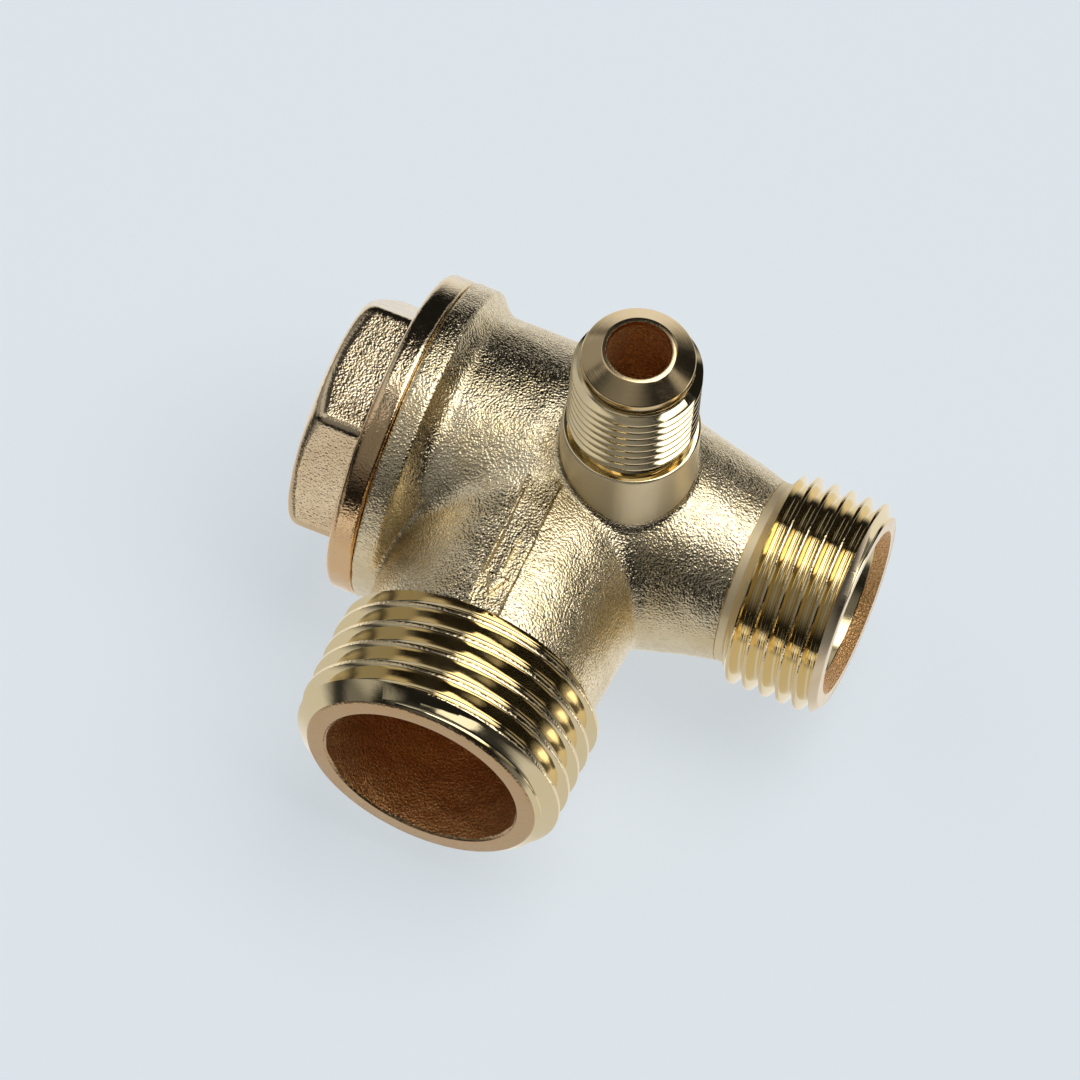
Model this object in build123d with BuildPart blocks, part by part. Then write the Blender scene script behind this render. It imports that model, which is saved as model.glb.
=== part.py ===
from build123d import *
import os

os.makedirs("parts", exist_ok=True)

# Three-port check valve for a compressor receiver, millimetres.
# The origin is the centre of the tank port's thread at its shoulder.
# The tank port points along -Y, the inlet port along +X, the unloader port
# along +Z, and the cap closes the chamber at the -X end of the main axis.
# Names ending in _X, _Y or _Z are positions, _R radii, _T thicknesses.

# ---- shared ----
AXIS_Y = 16.5            # main axis runs along X at this Y, z = 0
JOINT_X = -11.65         # face where cap flange and body flange meet
FLANGE_R = 12.5          # both flanges
EDGE_BREAK = 0.25        # chamfer on the flange and collar edges
FIT_GAP = 0.01           # clearance between stacked disc parts

# ---- body, outside ----
BODY_FLANGE_END_X = JOINT_X + 2.1
BODY_FLANGE_EDGE_L = 0.3     # length of the +X edge chamfer
FLANGE_ROOT_X = -8.1         # end of the hollow fillet beside the flange
FLANGE_FILLET_MID = (BODY_FLANGE_END_X + 0.42, 11.45)
CHAMBER_R = 11.15
CONE_START_X = -0.5
CONE_END_X = 15.4
CONE_END_R = 7.12

# ---- inlet port, G 3/8 ----
INLET_MAJOR_R = 16.662 / 2
INLET_PITCH = 1.337
INLET_THREAD_X = 16.25
INLET_RELIEF_END_X = INLET_THREAD_X - 0.3
INLET_FULL_THREAD_X = INLET_THREAD_X + 0.35
INLET_FACE_X = 23.95
INLET_RELIEF_R = 7.05
INLET_GROOVE_START = 17.4    # X of the middle of the first groove
INLET_GROOVES = 5
INLET_RIM_R = 7.55
INLET_RIM_L = 0.75           # length of the outer end chamfer
INLET_BORE_R = 5.6
INLET_BORE_CHAMFER = 0.9

# ---- tank port, G 1/2; distances run along -Y from the shoulder ----
TANK_MAJOR_R = 20.955 / 2
TANK_PITCH = 1.814
TANK_LENGTH = 9.93           # shoulder to end face
TANK_LEAD_IN = 0.3           # shoulder to full thread radius
TANK_GROOVE_START = 1.3      # shoulder to the middle of the first groove
TANK_GROOVES = 5
TANK_RIM_R = 9.05
TANK_RIM_L = 1.15            # length of the end chamfer
TANK_BORE_R = 7.65
TANK_BORE_FLOOR_Y = 8.6      # clear of the inlet passage
NECK_R = 9.25                # at the shoulder
NECK_ROOT_R = 9.95           # where the neck runs into the chamber
NECK_ROOT = 4.0 - AXIS_Y     # the neck starts 4 mm short of the main axis

# ---- flat pad on the +Z side of the tank neck ----
PAD_CENTRE = (0.25, 5.2)
PAD_WIDTH = 2.5              # along X
PAD_LENGTH = 10.6            # along Y
PAD_BASE_Z = 9.0
PAD_T = 1.15

# ---- unloader port, G 1/8 ----
UNLOADER_X = 4.92
UNLOADER_MAJOR_R = 9.728 / 2
UNLOADER_PITCH = 0.907
UNLOADER_TOP_Z = 24.7
UNLOADER_THREAD_Z = 15.0
UNLOADER_RELIEF_END_Z = UNLOADER_THREAD_Z - 0.2
UNLOADER_FULL_THREAD_Z = UNLOADER_THREAD_Z + 0.25
UNLOADER_RELIEF_Z = 14.25
UNLOADER_RELIEF_R = 4.2
UNLOADER_GROOVE_START = 15.9     # Z of the middle of the first groove
UNLOADER_GROOVES = 7
COLLAR_R = 5.15
COLLAR_ROOT_Z = 3.0              # buried in the body
UNLOADER_BORE_R = 2.38
UNLOADER_MOUTH_R = UNLOADER_BORE_R + 0.3
UNLOADER_MOUTH_DEPTH = 0.35
# End of the port beyond the thread: (radius, depth below the top)
UNLOADER_NOSE = [
    (UNLOADER_MAJOR_R, 2.4),
    (4.2, 1.9),
    (4.2, 1.0),
    (4.1, 0.85),
    (2.75, 0),
]

# ---- body, inside ----
CAP_BORE_R = 9.35            # cap thread bore, mean surface
CAP_BORE_END_X = -5.5
CHAMBER_BORE_R = 8.6
CHAMBER_FLOOR_X = 0.4
SEAT_X = -0.6                # face of the raised seat ring
SEAT_OUTER_R = 6.5           # at the foot of the ring
SEAT_TAPER = 0.35            # radius lost from foot to face
MOUTH_CHAMFER_R = 11.0

# ---- check piston ----
LIFT = 3.5
SEAL_GAP = 0.02
SEAL_T = 1.98                # depth allowed for the seal disc
SEAL_R = 6.9
SEAL_POCKET_R = SEAL_R + 0.02
SEAL_FRONT_X = SEAT_X - SEAL_GAP
SEAL_BACK_X = SEAL_FRONT_X - SEAL_T
HOLDER_R = 7.6
HOLDER_FRONT_X = -1.5
HOLDER_BACK_X = -4.2
HOLDER_FRONT_CHAMFER = 0.2
HOLDER_BACK_CHAMFER = 0.3
STEM_R = 2.9
STEM_TIP_X = -12.0
STEM_CHAMFER = 0.4

# ---- disc washer and screw ----
WASHER_R = 4.2
WASHER_T = 0.8
WASHER_CHAMFER = 0.2
WASHER_BACK_X = SEAL_FRONT_X + FIT_GAP
SCREW_R = 1.48
SCREW_HOLE_R = 1.5
SCREW_LENGTH = 6.5           # shank; also the depth of its hole in the piston
SCREW_CHAMFER = 0.3
SCREW_HEAD_R = 2.75
SCREW_HEAD_H = 1.9
SCREW_CROWN_H = 0.5          # rounded part of the head
SCREW_CROWN_FLAT_R = SCREW_HEAD_R - 0.9
SCREW_SEAT_X = WASHER_BACK_X + WASHER_T + FIT_GAP
SCREW_TIP_X = SCREW_SEAT_X - SCREW_LENGTH
SCREW_TOP_X = SCREW_SEAT_X + SCREW_HEAD_H
SLOT_WIDTH = 0.8
SLOT_DEPTH = 0.9

# ---- cap nut ----
CAP_FACE_X = JOINT_X - 0.02  # flange face, just clear of the body
CAP_FLANGE_BACK_X = -13.8
CAP_CORNER = 0.6             # rounded rear corner of the flange
CAP_CORNER_MID = 0.18        # inset of the arc's middle from both sides
CAP_STEP_X = CAP_FLANGE_BACK_X - 0.5
CAP_STEP_END_R = 8.0
CAP_STEP_ROOT_R = 8.2
CAP_THREAD_R = 9.3
CAP_THREAD_START_X = -9.7
CAP_THREAD_END_X = -5.7
CAP_THREAD_CHAMFER = 0.5
CAP_NECK_R = 8.5
CAP_MOUTH_R = 8.0            # clears the piston's head at full lift
CAP_MOUTH_X = -8.1
CAP_POCKET_R = 6.6
CAP_POCKET_X = -13.0
GUIDE_BOSS_R = 4.4
GUIDE_BOSS_X = HOLDER_BACK_X - LIFT - 0.05
GUIDE_BORE_R = 2.95
GUIDE_BORE_END_X = -17.0
HEX_END_X = -18.6
HEX_INRADIUS = 17.5 / 2      # half the width across flats
HEX_TURN = 5.4               # first corner, degrees from +Y towards +Z
# Triangle that, revolved, crowns the hexagon's end
CROWN_START_X = HEX_END_X - 0.1
CROWN_END_X = HEX_END_X + 1.1
CROWN_INNER_R = HEX_INRADIUS - 0.4
CROWN_OUTER_R = HEX_INRADIUS + 1.65

# ---- return spring and O-ring ----
SPRING_R = 5.5
SPRING_WIRE_R = 0.35
SPRING_TURNS = 5
SPRING_END_GAP = 0.02
ORING_R = 9.21
ORING_WIRE_R = 0.7
ORING_X = JOINT_X + ORING_WIRE_R + 0.025

# ---- thread form: Whitworth, 55 degree flanks ----
THREAD_DEPTH_RATIO = 0.640327    # depth over pitch
GROOVE_OVERCUT = 0.3             # groove cutter beyond the crest

# Sketch axes: (X, radius), (distance along -Y, radius) and (radius, Z).
MAIN_PLANE = Plane(origin=(0, AXIS_Y, 0), x_dir=(1, 0, 0), z_dir=(0, -1, 0))
MAIN_AXIS = Axis((0, AXIS_Y, 0), (1, 0, 0))
TANK_PLANE = Plane(origin=(0, 0, 0), x_dir=(0, -1, 0), z_dir=(-1, 0, 0))
TANK_AXIS = Axis((0, 0, 0), (0, -1, 0))
UNLOADER_PLANE = Plane(origin=(UNLOADER_X, AXIS_Y, 0), x_dir=(1, 0, 0), z_dir=(0, -1, 0))
UNLOADER_AXIS = Axis((UNLOADER_X, AXIS_Y, 0), (0, 0, 1))


def cross_plane(x, facing=-1):
    """Plane square to the main axis at x, facing -X unless facing is 1."""
    return Plane(origin=(x, AXIS_Y, 0), x_dir=(0, 1, 0), z_dir=(facing, 0, 0))


def groove_outline(pitch):
    """Thread groove as (along the axis, out from the root) points."""
    depth = THREAD_DEPTH_RATIO * pitch
    half_root = pitch / 12
    half_crest = 5 * pitch / 12
    return [
        (-half_root, 0),
        (half_root, 0),
        (half_crest, depth),
        (half_crest, depth + GROOVE_OVERCUT),
        (-half_crest, depth + GROOVE_OVERCUT),
        (-half_crest, depth),
    ]


def groove_places(start, pitch, count, major_r):
    """(along the axis, root radius) of each groove in a thread."""
    root_r = major_r - THREAD_DEPTH_RATIO * pitch
    return [(start + k * pitch, root_r) for k in range(count)]


def save(part, name):
    part.label = name
    export_step(part, f"parts/{name}.step")


# ---------------------------------------------------------------- valve body
with BuildPart() as valve_body:
    # chamber, flange and inlet neck: one turned outline about the main axis
    with BuildSketch(MAIN_PLANE):
        with BuildLine():
            Polyline(
                (JOINT_X, 0),
                (JOINT_X, FLANGE_R - EDGE_BREAK),
                (JOINT_X + EDGE_BREAK, FLANGE_R),
                (BODY_FLANGE_END_X - BODY_FLANGE_EDGE_L, FLANGE_R),
                (BODY_FLANGE_END_X, FLANGE_R - EDGE_BREAK),
            )
            ThreePointArc(
                (BODY_FLANGE_END_X, FLANGE_R - EDGE_BREAK),
                FLANGE_FILLET_MID,
                (FLANGE_ROOT_X, CHAMBER_R),
            )
            Polyline(
                (FLANGE_ROOT_X, CHAMBER_R),
                (CONE_START_X, CHAMBER_R),
                (CONE_END_X, CONE_END_R),
                (CONE_END_X, INLET_RELIEF_R),
                (INLET_RELIEF_END_X, INLET_RELIEF_R),
                (INLET_FULL_THREAD_X, INLET_MAJOR_R),
                (INLET_FACE_X - INLET_RIM_L, INLET_MAJOR_R),
                (INLET_FACE_X, INLET_RIM_R),
                (INLET_FACE_X, 0),
                (JOINT_X, 0),
            )
        make_face()
    revolve(axis=MAIN_AXIS)

    # tank port neck and thread blank
    with BuildSketch(TANK_PLANE):
        with BuildLine():
            Polyline(
                (NECK_ROOT, 0),
                (NECK_ROOT, NECK_ROOT_R),
                (0, NECK_R),
                (TANK_LEAD_IN, TANK_MAJOR_R),
                (TANK_LENGTH - TANK_RIM_L, TANK_MAJOR_R),
                (TANK_LENGTH, TANK_RIM_R),
                (TANK_LENGTH, 0),
                (NECK_ROOT, 0),
            )
        make_face()
    revolve(axis=TANK_AXIS)

    # unloader port: collar, relief, thread blank and nose
    with BuildSketch(UNLOADER_PLANE):
        with BuildLine():
            Polyline(
                (0, COLLAR_ROOT_Z),
                (COLLAR_R, COLLAR_ROOT_Z),
                (COLLAR_R, UNLOADER_RELIEF_Z - EDGE_BREAK),
                (COLLAR_R - EDGE_BREAK, UNLOADER_RELIEF_Z),
                (UNLOADER_RELIEF_R, UNLOADER_RELIEF_Z),
                (UNLOADER_RELIEF_R, UNLOADER_RELIEF_END_Z),
                (UNLOADER_MAJOR_R, UNLOADER_FULL_THREAD_Z),
                *[(radius, UNLOADER_TOP_Z - depth) for radius, depth in UNLOADER_NOSE],
                (0, UNLOADER_TOP_Z),
                (0, COLLAR_ROOT_Z),
            )
        make_face()
    revolve(axis=UNLOADER_AXIS)

    # flat pad along the tank neck
    with BuildSketch(Plane.XY.offset(PAD_BASE_Z)):
        with Locations(PAD_CENTRE):
            Rectangle(PAD_WIDTH, PAD_LENGTH)
    extrude(amount=PAD_T)

    # cored tank bore
    with BuildSketch(Plane(origin=(0, -TANK_LENGTH, 0), x_dir=(1, 0, 0), z_dir=(0, 1, 0))):
        Circle(TANK_BORE_R)
    extrude(amount=TANK_LENGTH + TANK_BORE_FLOOR_Y, mode=Mode.SUBTRACT)

    # chamber, cap bore, mouth chamfer, seat, inlet passage
    with BuildSketch(MAIN_PLANE):
        with BuildLine():
            Polyline(
                (JOINT_X, 0),
                (JOINT_X, MOUTH_CHAMFER_R),
                (JOINT_X + MOUTH_CHAMFER_R - CAP_BORE_R, CAP_BORE_R),
                (CAP_BORE_END_X, CAP_BORE_R),
                (CAP_BORE_END_X, CHAMBER_BORE_R),
                (CHAMBER_FLOOR_X, CHAMBER_BORE_R),
                (CHAMBER_FLOOR_X, SEAT_OUTER_R),
                (SEAT_X, SEAT_OUTER_R - SEAT_TAPER),
                (SEAT_X, INLET_BORE_R),
                (INLET_FACE_X - INLET_BORE_CHAMFER, INLET_BORE_R),
                (INLET_FACE_X, INLET_BORE_R + INLET_BORE_CHAMFER),
                (INLET_FACE_X, 0),
                (JOINT_X, 0),
            )
        make_face()
    revolve(axis=MAIN_AXIS, mode=Mode.SUBTRACT)

    # unloader passage, drilled into the inlet passage on the +X side of the seat
    with BuildSketch(UNLOADER_PLANE):
        with BuildLine():
            Polyline(
                (0, 0),
                (UNLOADER_BORE_R, 0),
                (UNLOADER_BORE_R, UNLOADER_TOP_Z - UNLOADER_MOUTH_DEPTH),
                (UNLOADER_MOUTH_R, UNLOADER_TOP_Z),
                (0, UNLOADER_TOP_Z),
                (0, 0),
            )
        make_face()
    revolve(axis=UNLOADER_AXIS, mode=Mode.SUBTRACT)

    # the three threads: ring grooves of the true form and pitch
    with BuildSketch(TANK_PLANE):
        with Locations(
            *groove_places(TANK_GROOVE_START, TANK_PITCH, TANK_GROOVES, TANK_MAJOR_R)
        ):
            Polygon(*groove_outline(TANK_PITCH), align=None)
    revolve(axis=TANK_AXIS, mode=Mode.SUBTRACT)

    with BuildSketch(MAIN_PLANE):
        with Locations(
            *groove_places(INLET_GROOVE_START, INLET_PITCH, INLET_GROOVES, INLET_MAJOR_R)
        ):
            Polygon(*groove_outline(INLET_PITCH), align=None)
    revolve(axis=MAIN_AXIS, mode=Mode.SUBTRACT)

    # this plane has the radius first, so each point is swapped; reversing
    # the outline keeps it counter-clockwise
    unloader_places = groove_places(
        UNLOADER_GROOVE_START, UNLOADER_PITCH, UNLOADER_GROOVES, UNLOADER_MAJOR_R
    )
    unloader_outline = reversed(groove_outline(UNLOADER_PITCH))
    with BuildSketch(UNLOADER_PLANE):
        with Locations(*[(radius, z) for z, radius in unloader_places]):
            Polygon(*[(outward, along) for along, outward in unloader_outline], align=None)
    revolve(axis=UNLOADER_AXIS, mode=Mode.SUBTRACT)

save(valve_body.part, "valve_body")

# ------------------------------------------------------------------- cap nut
with BuildPart() as cap_nut:
    # flange, undercut for the O-ring, threaded skirt and guide boss
    with BuildSketch(MAIN_PLANE):
        with BuildLine():
            Polyline(
                (CAP_STEP_X, 0),
                (CAP_STEP_X, CAP_STEP_END_R),
                (CAP_FLANGE_BACK_X, CAP_STEP_ROOT_R),
                (CAP_FLANGE_BACK_X, FLANGE_R - CAP_CORNER),
            )
            ThreePointArc(
                (CAP_FLANGE_BACK_X, FLANGE_R - CAP_CORNER),
                (CAP_FLANGE_BACK_X + CAP_CORNER_MID, FLANGE_R - CAP_CORNER_MID),
                (CAP_FLANGE_BACK_X + CAP_CORNER, FLANGE_R),
            )
            Polyline(
                (CAP_FLANGE_BACK_X + CAP_CORNER, FLANGE_R),
                (CAP_FACE_X - EDGE_BREAK, FLANGE_R),
                (CAP_FACE_X, FLANGE_R - EDGE_BREAK),
                (CAP_FACE_X, CAP_NECK_R),
                (CAP_THREAD_START_X, CAP_NECK_R),
                (CAP_THREAD_START_X + CAP_THREAD_CHAMFER, CAP_THREAD_R),
                (CAP_THREAD_END_X - CAP_THREAD_CHAMFER, CAP_THREAD_R),
                (CAP_THREAD_END_X, CAP_THREAD_R - CAP_THREAD_CHAMFER),
                (CAP_THREAD_END_X, CAP_MOUTH_R),
                (CAP_MOUTH_X, CAP_MOUTH_R),
                (CAP_MOUTH_X, CAP_POCKET_R),
                (CAP_POCKET_X, CAP_POCKET_R),
                (CAP_POCKET_X, GUIDE_BOSS_R),
                (GUIDE_BOSS_X, GUIDE_BOSS_R),
                (GUIDE_BOSS_X, 0),
                (CAP_STEP_X, 0),
            )
        make_face()
    revolve(axis=MAIN_AXIS)

    # hexagon, its end crowned by a shallow cone
    with BuildSketch(cross_plane(CAP_FLANGE_BACK_X)):
        RegularPolygon(HEX_INRADIUS, 6, major_radius=False, rotation=-HEX_TURN)
    extrude(amount=CAP_FLANGE_BACK_X - HEX_END_X)
    with BuildSketch(MAIN_PLANE):
        with BuildLine():
            Polyline(
                (CROWN_START_X, CROWN_INNER_R),
                (CROWN_END_X, CROWN_OUTER_R),
                (CROWN_START_X, CROWN_OUTER_R),
                (CROWN_START_X, CROWN_INNER_R),
            )
        make_face()
    revolve(axis=MAIN_AXIS, mode=Mode.SUBTRACT)

    # blind guide bore for the piston's stem
    with BuildSketch(cross_plane(GUIDE_BOSS_X)):
        Circle(GUIDE_BORE_R)
    extrude(amount=GUIDE_BOSS_X - GUIDE_BORE_END_X, mode=Mode.SUBTRACT)

save(cap_nut.part, "cap_nut")

# ---------------------------------------------------------------- cap O-ring
with BuildPart() as cap_o_ring:
    with BuildSketch(MAIN_PLANE):
        with Locations((ORING_X, ORING_R)):
            Circle(ORING_WIRE_R)
    revolve(axis=MAIN_AXIS)

save(cap_o_ring.part, "cap_o_ring")

# -------------------------------------------------------------- check piston
with BuildPart() as check_piston:
    # stem and holder, with a pocket for the seal disc in the +X face
    with BuildSketch(MAIN_PLANE):
        with BuildLine():
            Polyline(
                (STEM_TIP_X, 0),
                (STEM_TIP_X, STEM_R - STEM_CHAMFER),
                (STEM_TIP_X + STEM_CHAMFER, STEM_R),
                (HOLDER_BACK_X, STEM_R),
                (HOLDER_BACK_X, HOLDER_R - HOLDER_BACK_CHAMFER),
                (HOLDER_BACK_X + HOLDER_BACK_CHAMFER, HOLDER_R),
                (HOLDER_FRONT_X - HOLDER_FRONT_CHAMFER, HOLDER_R),
                (HOLDER_FRONT_X, HOLDER_R - HOLDER_FRONT_CHAMFER),
                (HOLDER_FRONT_X, SEAL_POCKET_R),
                (SEAL_BACK_X, SEAL_POCKET_R),
                (SEAL_BACK_X, 0),
                (STEM_TIP_X, 0),
            )
        make_face()
    revolve(axis=MAIN_AXIS)

    # hole for the disc screw
    with BuildSketch(cross_plane(SEAL_BACK_X)):
        Circle(SCREW_HOLE_R)
    extrude(amount=SCREW_LENGTH, mode=Mode.SUBTRACT)

save(check_piston.part, "check_piston")

# ----------------------------------------------------------------- seal disc
with BuildPart() as seal_disc:
    with BuildSketch(cross_plane(SEAL_FRONT_X)):
        Circle(SEAL_R)
        Circle(SCREW_HOLE_R, mode=Mode.SUBTRACT)
    extrude(amount=SEAL_T - FIT_GAP)

save(seal_disc.part, "seal_disc")

# --------------------------------------------------------------- disc washer
with BuildPart() as disc_washer:
    with BuildSketch(cross_plane(WASHER_BACK_X, facing=1)):
        Circle(WASHER_R)
        Circle(SCREW_HOLE_R, mode=Mode.SUBTRACT)
    extrude(amount=WASHER_T)
    front_face = disc_washer.faces().sort_by(Axis.X)[-1]
    chamfer(front_face.outer_wire().edges(), length=WASHER_CHAMFER)

save(disc_washer.part, "disc_washer")

# --------------------------------------------------------------- disc screw
with BuildPart() as disc_screw:
    with BuildSketch(MAIN_PLANE):
        with BuildLine():
            Polyline(
                (SCREW_TIP_X, 0),
                (SCREW_TIP_X, SCREW_R - SCREW_CHAMFER),
                (SCREW_TIP_X + SCREW_CHAMFER, SCREW_R),
                (SCREW_SEAT_X, SCREW_R),
                (SCREW_SEAT_X, SCREW_HEAD_R),
                (SCREW_TOP_X - SCREW_CROWN_H, SCREW_HEAD_R),
            )
            ThreePointArc(
                (SCREW_TOP_X - SCREW_CROWN_H, SCREW_HEAD_R),
                (SCREW_TOP_X - 0.12, SCREW_HEAD_R - 0.3),  # point on the crown
                (SCREW_TOP_X, SCREW_CROWN_FLAT_R),
            )
            Polyline(
                (SCREW_TOP_X, SCREW_CROWN_FLAT_R),
                (SCREW_TOP_X, 0),
                (SCREW_TIP_X, 0),
            )
        make_face()
    revolve(axis=MAIN_AXIS)

    # driver slot, drawn longer than the head is wide
    with BuildSketch(cross_plane(SCREW_TOP_X)):
        Rectangle(2 * SCREW_HEAD_R + 1, SLOT_WIDTH)
    extrude(amount=SLOT_DEPTH, mode=Mode.SUBTRACT)

save(disc_screw.part, "disc_screw")

# ------------------------------------------------------------- return spring
# stands between the cap's pocket floor and the back of the piston's holder
spring_start_x = CAP_POCKET_X + SPRING_WIRE_R + SPRING_END_GAP
spring_end_x = HOLDER_BACK_X - SPRING_WIRE_R - SPRING_END_GAP
spring_length = spring_end_x - spring_start_x
with BuildPart() as return_spring:
    with BuildLine() as spring_helix:
        Helix(
            pitch=spring_length / SPRING_TURNS,
            height=spring_length,
            radius=SPRING_R,
            center=(spring_start_x, AXIS_Y, 0),
            direction=(1, 0, 0),
        )
    with BuildSketch(Plane(origin=spring_helix.line @ 0, z_dir=spring_helix.line % 0)):
        Circle(SPRING_WIRE_R)
    sweep(path=spring_helix.line, is_frenet=True)

save(return_spring.part, "return_spring")
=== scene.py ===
import math
from functools import reduce

import bpy
import numpy as np
from mathutils import Matrix, Vector


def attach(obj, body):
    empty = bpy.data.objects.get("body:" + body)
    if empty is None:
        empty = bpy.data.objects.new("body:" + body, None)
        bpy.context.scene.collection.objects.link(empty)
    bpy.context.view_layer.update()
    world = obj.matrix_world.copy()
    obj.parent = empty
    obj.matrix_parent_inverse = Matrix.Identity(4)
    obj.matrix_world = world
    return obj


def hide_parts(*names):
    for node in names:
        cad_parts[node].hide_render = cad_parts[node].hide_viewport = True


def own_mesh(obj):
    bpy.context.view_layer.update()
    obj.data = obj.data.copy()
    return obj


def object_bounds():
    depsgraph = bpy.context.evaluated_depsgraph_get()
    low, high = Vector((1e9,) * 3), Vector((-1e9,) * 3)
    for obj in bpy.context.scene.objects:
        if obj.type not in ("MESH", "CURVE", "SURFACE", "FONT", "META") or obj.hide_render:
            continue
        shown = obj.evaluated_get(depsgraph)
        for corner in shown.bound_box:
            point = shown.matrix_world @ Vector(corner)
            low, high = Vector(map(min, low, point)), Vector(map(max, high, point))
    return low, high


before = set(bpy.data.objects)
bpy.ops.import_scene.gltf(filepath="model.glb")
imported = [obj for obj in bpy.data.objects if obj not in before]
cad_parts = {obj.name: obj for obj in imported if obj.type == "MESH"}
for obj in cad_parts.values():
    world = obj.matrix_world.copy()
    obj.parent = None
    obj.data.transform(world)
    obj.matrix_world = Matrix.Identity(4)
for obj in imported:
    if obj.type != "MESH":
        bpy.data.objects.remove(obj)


def box_lists(box):
    return [[float(x) for x in box[0]], [float(x) for x in box[1]]]


CAD_BOX = box_lists(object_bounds())
MM = 0.001

# ------------------------------------------------------------------ driving dimensions
AXIS_Y = 16.5
JOINT_X = -11.65  # where body and cap meet
FLANGE_RADIUS = 12.5
FLANGE_BACK_X = JOINT_X + 2.1
CHAMBER_RADIUS = 11.15
CONE_START_X = -0.5
CONE_END_X, CONE_END_RADIUS = 15.4, 7.12
NECK_RADIUS, NECK_ROOT_RADIUS = 9.25, 9.95
TANK_RADIUS, TANK_PITCH, TANK_LENGTH = 10.4775, 1.814, 9.93
INLET_RADIUS, INLET_PITCH, INLET_END_X = 8.331, 1.337, 23.95
UNLOADER_X, UNLOADER_RADIUS, UNLOADER_PITCH, UNLOADER_TOP = 4.92, 4.864, 0.907, 24.7
BODY_THREAD_RADIUS, CAP_THREAD_RADIUS, CAP_PITCH = 10.0, 9.9, 1.5
CAP_FACE_X = JOINT_X - 0.02
CAP_BACK_X = -13.8
HEX_END_X = -18.6 + 0.04
HEX_ACROSS_FLATS = 17.5
HEX_TURN = 5.4  # degrees

# Axes of revolution: a point and a direction
MAIN_LINE = ((0, AXIS_Y, 0), (1, 0, 0))
TANK_LINE = ((0, 0, 0), (0, -1, 0))
UNLOADER_LINE = ((UNLOADER_X, AXIS_Y, 0), (0, 0, 1))

# Mesh fineness
GRID = 0.17
SEGMENTS = 288


# ------------------------------------------------------------------ shader helpers
class Shader:
    """An emptied node tree, with short ways to add nodes. Most methods return a socket."""

    def __init__(self, owner):
        owner.use_nodes = True
        self.tree = owner.node_tree
        self.tree.nodes.clear()

    def add_node(self, kind, inputs=None, **settings):
        node = self.tree.nodes.new(kind)
        for name, value in settings.items():
            setattr(node, name, value)
        for key, value in (inputs or {}).items():
            if isinstance(value, bpy.types.NodeSocket):
                self.tree.links.new(value, node.inputs[key])
            else:
                node.inputs[key].default_value = value
        return node

    def math(self, operation, *values):
        inputs = dict(enumerate(values))
        return self.add_node("ShaderNodeMath", inputs, operation=operation).outputs[0]

    def add(self, first, second):
        return self.math("ADD", first, second)

    def subtract(self, first, second):
        return self.math("SUBTRACT", first, second)

    def multiply(self, first, second):
        return self.math("MULTIPLY", first, second)

    def vector(self, operation, *values):
        inputs = dict(enumerate(values))
        node = self.add_node("ShaderNodeVectorMath", inputs, operation=operation)
        return node.outputs["Value" if operation in ("LENGTH", "DOT_PRODUCT") else 0]

    def separate(self, vector):
        return self.add_node("ShaderNodeSeparateXYZ", {0: vector}).outputs

    def mix_color(self, factor, first, second):
        inputs = {0: factor, 6: first, 7: second}
        return self.add_node("ShaderNodeMix", inputs, data_type="RGBA").outputs[2]

    def mix_value(self, factor, first, second):
        inputs = {0: factor, 2: first, 3: second}
        return self.add_node("ShaderNodeMix", inputs, data_type="FLOAT").outputs[0]

    def remap(self, value, over, to=(0.0, 1.0), kind="SMOOTHSTEP"):
        inputs = dict(enumerate((value, *over, *to)))
        return self.add_node("ShaderNodeMapRange", inputs, interpolation_type=kind).outputs[0]

    def noise(self, coord, scale, detail, roughness=0.5):
        inputs = {"Vector": coord, "Scale": scale, "Detail": detail, "Roughness": roughness}
        return self.add_node("ShaderNodeTexNoise", inputs).outputs[0]

    def cells(self, coord, scale, feature="F1", **extra):
        inputs = {"Vector": coord, "Scale": scale, **extra}
        return self.add_node("ShaderNodeTexVoronoi", inputs, feature=feature).outputs["Distance"]

    def bump(self, height, distance, normal=None):
        inputs = {"Height": height, "Strength": 1.0, "Distance": distance}
        if normal is not None:
            inputs["Normal"] = normal
        return self.add_node("ShaderNodeBump", inputs).outputs[0]

    def output(self, socket, kind="ShaderNodeOutputMaterial"):
        self.add_node(kind, {0: socket})

    def principled(self, color, roughness, normal, extra):
        inputs = {"Base Color": color, "Roughness": roughness, "Normal": normal, **extra}
        self.output(self.add_node("ShaderNodeBsdfPrincipled", inputs).outputs[0])


def scaled(color, factor):
    return tuple(x * factor for x in color[:3]) + (1,)


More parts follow.
